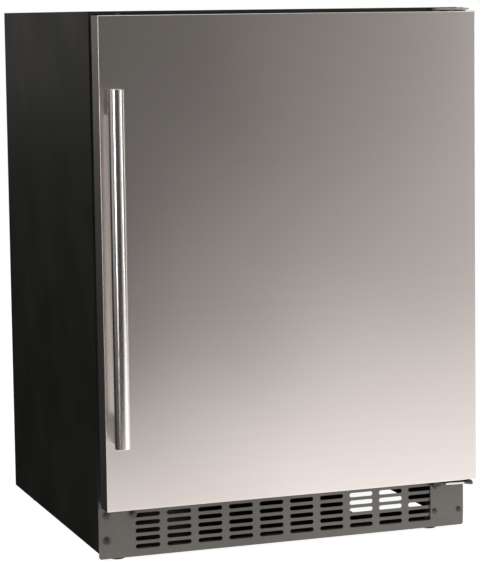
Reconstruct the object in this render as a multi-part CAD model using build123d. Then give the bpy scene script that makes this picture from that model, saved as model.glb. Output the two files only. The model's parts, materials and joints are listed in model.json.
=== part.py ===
from build123d import *
import math
import os

# Undercounter refrigerator, millimetres.
# X runs to the right as seen from the front, +Y to the rear, +Z up.
# The origin is on the floor, under the middle of the whole refrigerator's box.

# Driving dimensions of the case and door
WIDTH = 595
HEIGHT = 818
CASE_DEPTH = 525
DOOR_STAND = 50          # the door's face, ahead of the case's front plane
BAR_STAND = 45           # the handle bar's axis, ahead of the door's face
BAR_RADIUS = 11
SIDE = WIDTH / 2
FRONT = (DOOR_STAND + BAR_STAND + BAR_RADIUS - CASE_DEPTH) / 2
REAR = FRONT + CASE_DEPTH
DOOR_FACE = FRONT - DOOR_STAND

# Case sheets and the space that they enclose
SHEET = 0.8
CASE_BOTTOM = 15         # lower edge of the side sheets
CASE_TOP = HEIGHT - SHEET
PAN_TOP = CASE_BOTTOM + 1
FRAME_BOTTOM = 85
FLANGE = 17              # width of the side sheets' folded front flanges
MOUTH_SIDE = 255         # half the width of the food compartment
MOUTH_BOTTOM = 130
MOUTH_TOP = 774
LINER_WALL = 2
LINER_REAR = FRONT + 460
HUMP_FRONT = FRONT + 295
HUMP_TOP = 292
BAY_FRONT = FRONT + 335.8  # machine bay behind the hump
BAY_TOP = 250
COVER_REAR = REAR - 4    # the bay's cover is set in from the rear plane

# Door
DOOR_BOTTOM = 88
DOOR_TOP = 812
DOOR_BACK = FRONT - 16
PANEL_BACK = FRONT - 14  # the door's inner panel is 2 mm thick
PANEL_INSET = 0.6        # from the door's outline to the inner panel's
GASKET_OUT = 279.5
GASKET_IN = 259.5
GASKET_BOTTOM = 106
GASKET_TOP = 794
GASKET_GAP = 0.3         # magnet face to the front frame
DYKE_OUT = 246           # the ridge of the inner panel that enters the mouth
DYKE_IN = 222
DYKE_BOTTOM = 139
DYKE_TOP = 765
DYKE_REACH = 14

# Hinges, on an upright line at the door's right side
PIVOT_X = SIDE - 15
PIVOT_Y = FRONT - 28
PIN_RADIUS = 4
PIN_PLAY = 0.05
LOWER_PLATE_BOTTOM = 81
LOWER_PLATE_TOP = 84
UPPER_PLATE_BOTTOM = 813.8
UPPER_PLATE_TOP = 816.6
BRACKET = 3              # thickness of the lower bracket's upright flange
EAR = 2.5                # thickness of the upper bracket's downturned ears
UPPER_SCREW_Z = 808
PLUG_X = -SIDE + 45      # the unused hinge hole at the upper left
PLUG_Z = 810.5

# Bar handle
BAR_X = -SIDE + 12.5
BAR_Y = DOOR_FACE - BAR_STAND
BAR_BOTTOM = 190
BAR_TOP = 707.6
POST_HEIGHT = 36
POST_HALF_WIDTH = 5
POST_MIDDLES = [210, 688]
POST_SCREW_OFFSET = 9    # from a post's middle to each of its two screws

# Screw holes and feet
SMALL_HOLE = 2.2
LARGE_HOLE = 2.6
FOOT_RADIUS = 12.5
FOOT_PLACES = {
    "front_left": (-SIDE + 35, FRONT + 25),
    "front_right": (SIDE - 48, FRONT + 25),
    "rear_left": (-SIDE + 26, FRONT + 458),
    "rear_right": (SIDE - 26, FRONT + 458),
}

# Toe kick grille
KICK_FACE = FRONT - 1
KICK_BOTTOM = 6
KICK_CORNER = 4          # radius of its two lower corners
KICK_TOP = 84
KICK_LIP = 10            # depth of the channel folded along its lower edge
SLOT_COLUMNS = 10
SLOT_ROWS = 5
SLOT_PITCH_X = 49.35
SLOT_PITCH_Z = 11.9
SLOT_LENGTH = 38.5
SLOT_HEIGHT = 6.8
SLOT_MIDDLE_Z = 44.8

# Machine bay and base
VENT_LEFT = 152.5        # opening in the base pan, under the right side of the bay
VENT_RIGHT = 275
VENT_FRONT = FRONT + 90
VENT_REAR = FRONT + 300
COMPRESSOR_X = 60
COMPRESSOR_Y = FRONT + 430
COMPRESSOR_RADIUS = 70
COMPRESSOR_BOTTOM = 33
COMPRESSOR_TOP = 195
CORD_X = 235             # the supply cord's hole in the bay's cover
CORD_Z = 40
FAN_X = -122
FAN_Y = FRONT + 425
FAN_Z = 125
FAN_SHAFT = 20           # from a fan motor's mounting face to its wheel's far side
COIL_X = -225            # the condenser's middle, pass length, and lowest pass
COIL_Y = FRONT + 423
COIL_BOTTOM = 34
COIL_LENGTH = 150
COIL_PASSES = 9
COIL_PITCH = 22

# Inside the food compartment
SHELF_LEVELS = [298, 375, 452, 529, 606, 683]
SHELF_FRONT = FRONT + 98
SHELF_REAR = FRONT + 396
BIN_FLOORS = [175, 395, 600]
EVAPORATOR_COVER_FRONT = FRONT + 405
AIR_FAN_Z = 650
CRISPER_TOP = 250
CRISPER_WALL = 3
BIN_HEIGHT = 84
BIN_WALL = 2.5
BIN_FRONT = FRONT + 86
LUG_WIDTH = 5            # the inner panel's lugs, just under the bins' side walls

# Thermostat under the ceiling
CONTROL_FRONT = FRONT + 112
CONTROL_REAR = FRONT + 205
CONTROL_HALF = 96
CONTROL_BOTTOM = 738
CONTROL_WALL = 2.5
WINDOW_LEFT = -34
WINDOW_RIGHT = 22
BUTTON_Z = 755
BUTTON_RADIUS = 6
BUTTON_PLACES = {"power": -60, "cooler": 40, "warmer": 66}


def block(x0, x1, y0, y1, z0, z1):
    """A solid block between two opposite corners, in any order."""
    middle = ((x0 + x1) / 2, (y0 + y1) / 2, (z0 + z1) / 2)
    return Pos(*middle) * Box(abs(x1 - x0), abs(y1 - y0), abs(z1 - z0))


def rod(start, direction, radius, length):
    """A round rod from its start, along a direction."""
    return Solid.make_cylinder(radius, length, Plane(origin=start, z_dir=direction))


def ring(half_out, half_in, z_out, z_in, y0, y1):
    """An upright rectangular ring round the door's or the case's mouth."""
    outside = block(-half_out, half_out, y0, y1, z_out[0], z_out[1])
    return outside - block(-half_in, half_in, y0 - 1, y1 + 1, z_in[0], z_in[1])


def plate(points, z0, z1):
    """A flat plate with the given outline, between two heights."""
    outline = make_face(Polyline(*points, close=True))
    return Pos(0, 0, z0) * extrude(outline, z1 - z0)


def pipe(points, radius, bend):
    """A round pipe along straight runs joined by tangent bends."""
    path = FilletPolyline(*points, radius=bend)
    return sweep(Plane(origin=path @ 0, z_dir=path % 0) * Circle(radius), path=path)


def pan_head_screw(start, direction, head_radius, shank_radius, shank_length):
    """A pan head screw with a cross recess; start is the underside of its head."""
    head_height = head_radius * 0.45
    base = Plane(origin=start, z_dir=direction)
    head = Cylinder(head_radius, head_height, align=(Align.CENTER, Align.CENTER, Align.MIN))
    head = fillet(head.edges().group_by(Axis.Z)[-1], head_height * 0.6)
    for turn in (0, 90):
        wing = Rot(0, 0, turn) * Box(head_radius * 0.95, head_radius * 0.2, head_height)
        head -= Pos(0, 0, head_height) * wing
    shank = Cylinder(shank_radius, shank_length, align=(Align.CENTER, Align.CENTER, Align.MAX))
    return base * (head + shank)


# Case ---------------------------------------------------------------------------------

def side_panel(sign):
    """One painted side sheet, with flanges folded inwards at its front and rear edges."""
    face = sign * SIDE
    inside = sign * (SIDE - SHEET)
    flange_end = sign * (SIDE - FLANGE)
    panel = block(face, inside, FRONT, REAR, CASE_BOTTOM, CASE_TOP)
    panel += block(inside, flange_end, FRONT, FRONT + SHEET, CASE_BOTTOM, CASE_TOP)
    panel += block(inside, flange_end, REAR - SHEET, REAR, BAY_TOP + SHEET, CASE_TOP)
    cover_seat = COVER_REAR - SHEET
    panel += block(inside, flange_end, cover_seat - SHEET, cover_seat, PAN_TOP, BAY_TOP)
    for z in cover_screw_heights():
        panel -= rod((sign * cover_screw_x(), REAR, z), (0, -1, 0), SMALL_HOLE, 12)
    if sign < 0:
        for x, z in kick_screw_places()[:2]:
            panel -= rod((x, FRONT - 2, z), (0, 1, 0), LARGE_HOLE, 6)
    return panel


def top_panel():
    """The flat top sheet, over both sides and the front frame, with a softened front edge."""
    top = block(-SIDE, SIDE, FRONT, REAR, CASE_TOP, HEIGHT)
    return fillet(top.edges().filter_by(Axis.X).group_by(Axis.Z)[-1], 0.5)


def back_panel():
    """The rear sheet above the machine bay, stiffened by three pressed grooves."""
    edge = SIDE - FLANGE
    depth, half_width = 2.2, 5
    back = block(-edge, edge, REAR - SHEET, REAR, BAY_TOP + SHEET, CASE_TOP)
    for z in (380, 530, 680):
        back += block(-edge + 40, edge - 40, REAR - depth - SHEET, REAR - SHEET,
                      z - half_width - SHEET, z + half_width + SHEET)
        back -= block(-edge + 40 + SHEET, edge - 40 - SHEET, REAR - depth, REAR + 1,
                      z - half_width, z + half_width)
    return back


def front_frame():
    """The steel face round the mouth, which the door's magnetic gasket closes on."""
    edge = SIDE - FLANGE
    frame = ring(edge, MOUTH_SIDE, (FRAME_BOTTOM, CASE_TOP), (MOUTH_BOTTOM, MOUTH_TOP),
                 FRONT, FRONT + SHEET)
    for x in upper_screw_places():
        frame -= rod((x, FRONT - 1, UPPER_SCREW_Z), (0, 1, 0), SMALL_HOLE, 3)
    return frame - rod((PLUG_X, FRONT - 1, PLUG_Z), (0, 1, 0), 3, 3)


def compartment(grow):
    """The food compartment's space with the hump over the machine bay, grown on all sides."""
    side = MOUTH_SIDE + grow
    space = block(-side, side, FRONT + SHEET, LINER_REAR + grow,
                  MOUTH_BOTTOM - grow, MOUTH_TOP + grow)
    hump = block(-side - 1, side + 1, HUMP_FRONT + grow, LINER_REAR + grow + 1,
                 MOUTH_BOTTOM - grow - 1, HUMP_TOP - grow)
    return space - hump


def inner_liner():
    """The white moulded liner: a five-sided shell with a hump and ledges for the shelves."""
    liner = compartment(LINER_WALL) - compartment(0)
    ledge_depth = 8
    for z in SHELF_LEVELS:
        for sign in (-1, 1):
            wall = sign * MOUTH_SIDE
            liner += block(wall, wall - sign * ledge_depth, FRONT + 112, LINER_REAR - 8, z - 6, z)
    liner -= drain_line(8)
    for x, z in refrigerant_passes():
        liner -= rod((x, LINER_REAR - 5, z), (0, 1, 0), 4, 10)
    return liner


def insulation_foam():
    """Foam between the outer sheets and the liner, cut round the bay, pipes and drain."""
    edge = SIDE - SHEET
    foam = block(-edge, edge, FRONT + SHEET, REAR - 3, FRAME_BOTTOM + SHEET, CASE_TOP)
    foam -= block(-edge - 1, edge + 1, BAY_FRONT - SHEET, REAR, FRAME_BOTTOM, BAY_TOP + SHEET)
    foam -= compartment(LINER_WALL)
    foam -= drain_line(10)
    for x, z in refrigerant_passes():
        foam -= rod((x, LINER_REAR, z), (0, 1, 0), 8, REAR - LINER_REAR - 6)
        foam -= rod((x, REAR - 15, BAY_TOP), (0, 0, 1), 8, z + 8 - BAY_TOP)
    for x in upper_screw_places():
        foam -= rod((x, FRONT, UPPER_SCREW_Z), (0, 1, 0), 3, 12)
    return foam - rod((PLUG_X, FRONT, PLUG_Z), (0, 1, 0), 4, 12)


def bay_panel():
    """The folded sheet under the foam: a floor, the bay's front wall and the bay's ceiling."""
    edge = SIDE - SHEET
    panel = block(-edge, edge, FRONT + SHEET, BAY_FRONT, FRAME_BOTTOM, FRAME_BOTTOM + SHEET)
    panel += block(-edge, edge, BAY_FRONT - SHEET, BAY_FRONT, FRAME_BOTTOM, BAY_TOP + SHEET)
    panel += block(-edge, edge, BAY_FRONT, REAR - SHEET, BAY_TOP, BAY_TOP + SHEET)
    panel -= drain_line(10)
    for x, z in refrigerant_passes():
        panel -= rod((x, REAR - 15, BAY_TOP - 2), (0, 0, 1), 6, 5)
    return panel


def base_pan():
    """The base: a sheet with upturned edges, nuts for the feet and a vent on the right."""
    edge = SIDE - SHEET
    lip = 15
    rear = COVER_REAR - 2 * SHEET
    front = FRONT + KICK_LIP + 1
    pan = block(-edge, edge, front, rear, CASE_BOTTOM, PAN_TOP)
    for sign in (-1, 1):
        pan += block(sign * edge, sign * (edge - 1), front, rear, PAN_TOP, PAN_TOP + lip)
    pan -= block(VENT_LEFT, VENT_RIGHT, VENT_FRONT, VENT_REAR, CASE_BOTTOM - 1, PAN_TOP + 1)
    for x, y in FOOT_PLACES.values():
        pan += rod((x, y, PAN_TOP), (0, 0, 1), 9, 8)
        pan -= rod((x, y, CASE_BOTTOM - 1), (0, 0, 1), 4, 12)
    for x, y in mount_places():
        pan -= rod((x, y, CASE_BOTTOM - 1), (0, 0, 1), 3.3, 4)
    for x, y in base_screw_places():
        pan -= rod((x, y, CASE_BOTTOM - 1), (0, 0, 1), SMALL_HOLE, 4)
    return pan


def air_divider():
    """The upright sheet in the base that keeps the incoming and outgoing air apart."""
    divider = block(VENT_LEFT - SHEET, VENT_LEFT, FRONT + 132, BAY_FRONT - SHEET,
                    PAN_TOP, FRAME_BOTTOM)
    foot = block(VENT_LEFT - 10, VENT_LEFT - SHEET, FRONT + 132, BAY_FRONT - SHEET,
                 PAN_TOP, PAN_TOP + SHEET)
    return divider + foot


def toe_kick_grille():
    """The slotted front plate under the door, with its lower edge folded back and up."""
    kick = block(-SIDE, SIDE, KICK_FACE, FRONT, KICK_BOTTOM, KICK_TOP)
    corners = kick.edges().filter_by(Axis.Y).group_by(Axis.Z)[0]
    kick = fillet(corners, KICK_CORNER)
    lip_rear = FRONT + KICK_LIP
    kick += block(-SIDE + 10, SIDE - 10, FRONT, lip_rear, KICK_BOTTOM, KICK_BOTTOM + 1)
    kick += block(-SIDE + 10, SIDE - 10, lip_rear - 1, lip_rear, KICK_BOTTOM, KICK_BOTTOM + 11)
    tab = block(-SIDE + 2, -SIDE + 7.5, KICK_FACE, FRONT, KICK_TOP, KICK_TOP + 8)
    kick += tab
    first_x = -SLOT_PITCH_X * (SLOT_COLUMNS - 1) / 2 + 0.9
    slot = extrude(SlotOverall(SLOT_LENGTH, SLOT_HEIGHT), 4, both=True)
    slot = Rot(90, 0, 0) * slot
    for column in range(SLOT_COLUMNS):
        for row in range(SLOT_ROWS):
            x = first_x + SLOT_PITCH_X * column
            z = SLOT_MIDDLE_Z + SLOT_PITCH_Z * (row - (SLOT_ROWS - 1) / 2)
            kick -= Pos(x, FRONT - 0.5, z) * slot
    for x, z in kick_screw_places() + lower_screw_places():
        kick -= rod((x, FRONT - 3, z), (0, 1, 0), LARGE_HOLE, 4)
    return kick


def kick_screw_places():
    """The toe kick's own screws, at its left end."""
    return [(-SIDE + 12, 72), (-SIDE + 12, 34), (-SIDE + 52.4, 71.5)]


def toe_kick_screws():
    """Three large pan head screws in the toe kick."""
    return [pan_head_screw((x, KICK_FACE, z), (0, -1, 0), 6, 2.4, 8) for x, z in kick_screw_places()]


def cover_screw_x():
    """Distance of the bay cover's screws from the middle."""
    return SIDE - 8


def cover_screw_heights():
    """Heights of the bay cover's screws on each side."""
    return [40, 130, 225]


def bay_cover():
    """The removable rear cover of the machine bay, with rows of vent slots and a cord hole."""
    edge = SIDE - SHEET
    cover = block(-edge, edge, COVER_REAR - SHEET, COVER_REAR, PAN_TOP, BAY_TOP - 0.5)
    vent = Rot(90, 0, 0) * extrude(SlotOverall(44, 6), 2, both=True)
    for column in range(7):
        for row in range(9):
            x = -190 + 55 * column
            z = 60 + 16 * row
            cover -= Pos(x, COVER_REAR, z) * vent
    cover -= rod((CORD_X, COVER_REAR - 3, CORD_Z), (0, 1, 0), 7, 6)
    for sign in (-1, 1):
        for z in cover_screw_heights():
            cover -= rod((sign * cover_screw_x(), COVER_REAR - 3, z), (0, 1, 0), SMALL_HOLE, 6)
    return cover


def cord_gland():
    """The moulded bush in the cover that the supply cord passes through."""
    bush = rod((CORD_X, COVER_REAR - 8, CORD_Z), (0, 1, 0), 6.9, 11)
    bush += rod((CORD_X, COVER_REAR, CORD_Z), (0, 1, 0), 10, 3)
    bush += rod((CORD_X, COVER_REAR - 3.8, CORD_Z), (0, 1, 0), 9, 3)
    return bush - rod((CORD_X, COVER_REAR - 9, CORD_Z), (0, 1, 0), 4, 14)


def base_screw_places():
    """Screws through the base pan, three along each side."""
    return [(sign * (SIDE - 12), FRONT + y) for sign in (-1, 1) for y in (75, 304, 496)]


def case_screws():
    """The bay cover's screws and the screws under the base pan."""
    screws = []
    for sign in (-1, 1):
        for z in cover_screw_heights():
            place = (sign * cover_screw_x(), COVER_REAR, z)
            screws.append(pan_head_screw(place, (0, 1, 0), 4, 2, 6))
    for x, y in base_screw_places():
        screws.append(pan_head_screw((x, y, CASE_BOTTOM), (0, 0, -1), 4, 2, 6))
    return screws


# Hinges -------------------------------------------------------------------------------

def lower_screw_places():
    """Screws of the lower hinge's upright flange."""
    return [(SIDE - 49, 71), (SIDE - 50, 32), (SIDE - 9, 31.5)]


def upper_screw_places():
    """Screws of the upper hinge's two downturned ears."""
    return [SIDE - 44, SIDE - 20]


def hinge_bracket_lower():
    """The lower hinge: a flange on the toe kick and a shelf under the door with a blunt tip."""
    face = KICK_FACE
    flange = block(SIDE - 57, SIDE - 1, face - BRACKET, face, 21, LOWER_PLATE_TOP)
    outline = [(SIDE - 48, face - BRACKET), (SIDE - 48, FRONT - 43), (SIDE - 18, FRONT - 45),
               (SIDE - 12, FRONT - 53), (SIDE - 7, FRONT - 53), (SIDE - 2, FRONT - 40),
               (SIDE - 1, face - BRACKET)]
    shelf = plate(outline, LOWER_PLATE_BOTTOM, LOWER_PLATE_TOP)
    tip_edges = shelf.edges().filter_by(Axis.Z).filter_by(lambda edge: edge.center().Y < FRONT - 39)
    shelf = fillet(tip_edges, 1.6)
    bracket = flange + shelf
    for x, z in lower_screw_places():
        bracket -= rod((x, face - BRACKET - 1, z), (0, 1, 0), LARGE_HOLE, BRACKET + 2)
    bracket -= rod((PIVOT_X, PIVOT_Y, LOWER_PLATE_BOTTOM - 1), (0, 0, 1), PIN_RADIUS, 5)
    return bracket


def hinge_bracket_upper():
    """The upper hinge: a plate over the door with two ears turned down on the front frame."""
    outline = [(SIDE - 50, FRONT), (SIDE - 50, FRONT - 14), (SIDE - 30, FRONT - 40),
               (SIDE - 6, FRONT - 40), (SIDE - 3, FRONT - 30), (SIDE - 3, FRONT)]
    bracket = plate(outline, UPPER_PLATE_BOTTOM, UPPER_PLATE_TOP)
    for x in upper_screw_places():
        bracket += block(x - 5.5, x + 5.5, FRONT - EAR, FRONT, 796, UPPER_PLATE_BOTTOM)
        bracket -= rod((x, FRONT - 4, UPPER_SCREW_Z), (0, 1, 0), SMALL_HOLE, 6)
    bracket -= rod((PIVOT_X, PIVOT_Y, UPPER_PLATE_BOTTOM - 1), (0, 0, 1), PIN_RADIUS, 5)
    return bracket


def hinge_screws():
    """Screws of both hinge brackets."""
    screws = []
    for x, z in lower_screw_places():
        start = (x, KICK_FACE - BRACKET, z)
        screws.append(pan_head_screw(start, (0, -1, 0), 4.6, 2.4, BRACKET + 1))
    for x in upper_screw_places():
        screws.append(pan_head_screw((x, FRONT - EAR, UPPER_SCREW_Z), (0, -1, 0), 4, 2, 9))
    return screws


def hinge_pins():
    """The two pins that the door turns on, each riveted into its bracket."""
    lower = rod((PIVOT_X, PIVOT_Y, LOWER_PLATE_BOTTOM), (0, 0, 1), PIN_RADIUS, 22)
    lower += rod((PIVOT_X, PIVOT_Y, LOWER_PLATE_BOTTOM - 2), (0, 0, 1), 6, 2)
    upper = rod((PIVOT_X, PIVOT_Y, UPPER_PLATE_TOP), (0, 0, -1), PIN_RADIUS, 22)
    upper += rod((PIVOT_X, PIVOT_Y, UPPER_PLATE_TOP), (0, 0, 1), 6, 1.2)
    return [lower, upper]


def hinge_bushes():
    """The door's two plastic bushes; a thin collar of each keeps the door off its bracket."""
    bushes = []
    collars = [(DOOR_BOTTOM, LOWER_PLATE_TOP + 0.4, 1), (DOOR_TOP, UPPER_PLATE_BOTTOM - 0.4, -1)]
    for face, collar_end, inwards in collars:
        centre = (PIVOT_X, PIVOT_Y, face)
        sleeve = rod(centre, (0, 0, inwards), 6, 20)
        collar = rod(centre, (0, 0, -inwards), 8.5, abs(collar_end - face))
        bore = rod((PIVOT_X, PIVOT_Y, face - 10 * inwards), (0, 0, inwards),
                   PIN_RADIUS + PIN_PLAY, 29)
        bushes.append(sleeve + collar - bore)
    return bushes


def door_stop():
    """The black moulded stop beside the lower hinge, on the toe kick under the door."""
    stop = block(SIDE - 63, SIDE - 49, FRONT - 30, KICK_FACE - BRACKET, 76.5, DOOR_BOTTOM - 2)
    front_edges = stop.edges().filter_by(Axis.Z).group_by(Axis.Y)[0]
    return fillet(front_edges, 4)


def hole_plug():
    """The domed plug in the unused hinge hole."""
    dome = Solid.make_sphere(6, Plane(origin=(PLUG_X, FRONT + 3, PLUG_Z)))
    dome = dome & block(PLUG_X - 8, PLUG_X + 8, FRONT - 8, FRONT, PLUG_Z - 8, PLUG_Z + 8)
    return dome + rod((PLUG_X, FRONT, PLUG_Z), (0, 1, 0), 2.9, 5)


# Machine bay --------------------------------------------------------------------------

def mount_places():
    """The four places where the compressor is bolted down."""
    return [(COMPRESSOR_X + sx * 62, COMPRESSOR_Y + sy * 52) for sx in (-1, 1) for sy in (-1, 1)]


def compressor_shell():
    """The hermetic compressor's welded steel shell, hollow, on its foot plate."""
    wall = 3.5
    height = COMPRESSOR_TOP - COMPRESSOR_BOTTOM
    shell = rod((0, 0, 0), (0, 0, 1), COMPRESSOR_RADIUS, height)
    shell = fillet(shell.edges().filter_by(GeomType.CIRCLE), 28)
    hollow = rod((0, 0, wall), (0, 0, 1), COMPRESSOR_RADIUS - wall, height - 2 * wall)
    shell -= fillet(hollow.edges().filter_by(GeomType.CIRCLE), 25)
    seam = rod((0, 0, 78), (0, 0, 1), COMPRESSOR_RADIUS + 2.5, 7)
    seam -= rod((0, 0, 77), (0, 0, 1), COMPRESSOR_RADIUS - 1, 9)
    shell += seam
    feet = Pos(0, 0, 1.5) * Box(144, 124, 3)
    feet = fillet(feet.edges().filter_by(Axis.Z), 14)
    feet -= rod((0, 0, -1), (0, 0, 1), COMPRESSOR_RADIUS - 30, 5)
    shell += feet
    for x, y in mount_places():
        shell -= rod((x - COMPRESSOR_X, y - COMPRESSOR_Y, -1), (0, 0, 1), 5, 5)
    return Pos(COMPRESSOR_X, COMPRESSOR_Y, COMPRESSOR_BOTTOM) * shell


def compressor_motor():
    """Motor and pump inside the shell, standing on spring posts."""
    bottom = COMPRESSOR_BOTTOM + 3.5
    motor = rod((COMPRESSOR_X, COMPRESSOR_Y, bottom + 18), (0, 0, 1), 52, 62)
    motor += rod((COMPRESSOR_X, COMPRESSOR_Y, bottom + 80), (0, 0, 1), 16, 40)
    motor += Pos(COMPRESSOR_X + 14, COMPRESSOR_Y, bottom + 100) * Box(60, 46, 30)
    for sx in (-1, 1):
        for sy in (-1, 1):
            motor += rod((COMPRESSOR_X + 22 * sx, COMPRESSOR_Y + 22 * sy, bottom), (0, 0, 1), 6, 18)
    return motor


def compressor_mounts():
    """Four rubber grommets under the compressor's foot plate."""
    mounts = []
    for x, y in mount_places():
        grommet = rod((x, y, PAN_TOP), (0, 0, 1), 10, COMPRESSOR_BOTTOM - PAN_TOP)
        grommet += rod((x, y, COMPRESSOR_BOTTOM), (0, 0, 1), 4.9, 3)
        mounts.append(grommet - rod((x, y, PAN_TOP - 1), (0, 0, 1), 3.4, 24))
    return mounts


def compressor_bolts():
    """Four bolts through the grommets, with nuts under the base pan."""
    bolts = []
    for x, y in mount_places():
        bolt = rod((x, y, CASE_BOTTOM - 5), (0, 0, 1), 3.1, 26)
        top = Plane((x, y, COMPRESSOR_BOTTOM + 3)) * RegularPolygon(6, 6)
        bolts.append(bolt + extrude(top, 4))
    return bolts


def relay_box():
    """The start relay's cover on the compressor's right side, stepped round the weld seam."""
    left = COMPRESSOR_X + COMPRESSOR_RADIUS - 6
    right = left + 38
    box = block(left, right, COMPRESSOR_Y - 28, COMPRESSOR_Y + 28, 70, 150)
    box = fillet(box.edges().filter_by(Axis.X), 3)
    axis_bottom = (COMPRESSOR_X, COMPRESSOR_Y, 60)
    box -= rod(axis_bottom, (0, 0, 1), COMPRESSOR_RADIUS, 100)
    seam_clearance = rod((COMPRESSOR_X, COMPRESSOR_Y, 108), (0, 0, 1), COMPRESSOR_RADIUS + 4, 13)
    return box - seam_clearance


def finned_coil(length, passes, pitch, columns, column_pitch, pipe_radius, fin_pitch):
    """A coil of straight passes along X, looped in upright columns through thin fins."""
    bend = pitch / 2 - 0.2
    height = pitch * (passes - 1)
    coil = None
    for column in range(columns):
        y = column_pitch * (column - (columns - 1) / 2)
        points = []
        for step in range(passes):
            ends = (-length / 2, length / 2)
            if step % 2:
                ends = ends[::-1]
            points += [(ends[0], y, step * pitch), (ends[1], y, step * pitch)]
        tube = pipe(points, pipe_radius, bend)
        coil = tube if coil is None else coil + tube
    fin_depth = column_pitch * columns
    stack = length - 2 * pitch
    count = int(stack / fin_pitch)
    for index in range(count + 1):
        x = -stack / 2 + stack * index / count
        coil += Pos(x, 0, height / 2) * Box(0.5, fin_depth, height + pitch * 0.8)
    return coil


def condenser_coil():
    """The condenser: a finned coil that stands across the left of the machine bay."""
    coil = finned_coil(COIL_LENGTH, COIL_PASSES, COIL_PITCH, 3, 22, 3, 6)
    return Pos(COIL_X, COIL_Y, COIL_BOTTOM) * Rot(0, 0, -90) * coil


def fan_shroud():
    """The plate round the condenser fan, with a collar and a three-legged motor mount."""
    face = FAN_X - 14
    half = 78
    motor_face = FAN_X + FAN_SHAFT
    shroud = block(face - 1.5, face, FAN_Y - half, FAN_Y + half, PAN_TOP, FAN_Z + half)
    shroud += rod((face - 1.5, FAN_Y, FAN_Z), (1, 0, 0), 70, motor_face - face + 1.5)
    shroud -= rod((face - 3, FAN_Y, FAN_Z), (1, 0, 0), 67.5, motor_face - face + 10)
    shroud += rod((motor_face - 2, FAN_Y, FAN_Z), (1, 0, 0), 26, 2)
    for turn in range(3):
        leg = Pos(motor_face - 1, 0, 46) * Box(2, 12, 46)
        shroud += Pos(0, FAN_Y, FAN_Z) * Rot(turn * 120, 0, 0) * leg
    return shroud - rod((motor_face - 3, FAN_Y, FAN_Z), (1, 0, 0), 3, 4)


def fan_motor(radius, depth):
    """A small fan motor with its shaft towards -X, from a mounting face at X = 0."""
    body = rod((0, 0, 0), (1, 0, 0), radius, depth)
    body = fillet(body.edges().filter_by(GeomType.CIRCLE), 4)
    return body + rod((0, 0, 0), (-1, 0, 0), 2.5, FAN_SHAFT + 2)


def fan_blade(radius, hub_radius, hub_depth, blades):
    """A fan wheel on the X axis: a hollow hub and pitched blades, bored for its shaft."""
    hub = rod((0, 0, 0), (1, 0, 0), hub_radius, hub_depth)
    for index in range(blades):
        reach = radius - hub_radius + 2
        blade = Box(1.6, radius * 0.55, reach)
        blade = Rot(0, 0, 32) * blade
        blade = Pos(hub_depth / 2, 0, hub_radius - 2 + reach / 2) * blade
        hub += Rot(index * 360 / blades, 0, 0) * blade
    hub = hub & rod((-20, 0, 0), (1, 0, 0), radius, 60)
    return hub - rod((-1, 0, 0), (1, 0, 0), 2.55, hub_depth + 2)


def condenser_fan_motor():
    """The condenser fan's motor, on the shroud's legs."""
    return Pos(FAN_X + FAN_SHAFT, FAN_Y, FAN_Z) * fan_motor(24, 34)


def condenser_fan_blade():
    """The condenser fan's wheel."""
    return Pos(FAN_X, FAN_Y, FAN_Z) * fan_blade(64, 18, 14, 5)


def filter_drier():
    """The copper filter drier, upright behind the condenser."""
    drier = rod((COIL_X, REAR - 15, 60), (0, 0, 1), 8, 90)
    return fillet(drier.edges().filter_by(GeomType.CIRCLE), 5)


def refrigerant_passes():
    """Where the capillary and the suction line pass the compartment's rear wall."""
    return [(COIL_X + 60, 320), (COMPRESSOR_X, 320)]


def refrigerant_tubes():
    """The discharge, liquid, capillary and suction pipes."""
    capillary_x, capillary_z = refrigerant_passes()[0]
    suction_x, suction_z = refrigerant_passes()[1]
    inner_end = LINER_REAR - 14
    ceiling_run = BAY_TOP - 8
    lane_y = BAY_FRONT + 6
    riser_y = REAR - 15
    shell_front = COMPRESSOR_Y - COMPRESSOR_RADIUS
    shell_rear = COMPRESSOR_Y + COMPRESSOR_RADIUS
    coil_front = COIL_Y - COIL_LENGTH / 2
    coil_rear = COIL_Y + COIL_LENGTH / 2
    coil_top = COIL_BOTTOM + COIL_PITCH * (COIL_PASSES - 1)
    discharge = pipe([(COMPRESSOR_X, shell_front, 160), (COMPRESSOR_X, lane_y, 160),
                      (COMPRESSOR_X, lane_y, ceiling_run), (COIL_X, lane_y, ceiling_run),
                      (COIL_X, lane_y, coil_top), (COIL_X, coil_front, coil_top)], 2.5, 5)
    liquid = pipe([(COIL_X, coil_rear, COIL_BOTTOM), (COIL_X, riser_y, COIL_BOTTOM),
                   (COIL_X, riser_y, 60)], 2.5, 5)
    capillary = pipe([(COIL_X, riser_y, 150), (COIL_X, riser_y, 180), (capillary_x, riser_y, 205),
                      (capillary_x, riser_y, capillary_z),
                      (capillary_x, inner_end, capillary_z)], 1.5, 8)
    suction = pipe([(suction_x, inner_end, suction_z), (suction_x, riser_y, suction_z),
                    (suction_x, riser_y, 130), (suction_x, shell_rear, 130)], 3.5, 8)
    return [discharge, liquid, capillary, suction]


def drain_line(radius):
    """The straight space of the drain, from the hump down into the bay."""
    return rod((COMPRESSOR_X - 10, LINER_REAR - 18, BAY_TOP - 22), (0, 0, 1), radius,
               HUMP_TOP - BAY_TOP + 22)


def drain_tube():
    """The drain tube from the hump to the drip tray."""
    return drain_line(8) - drain_line(6)


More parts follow.
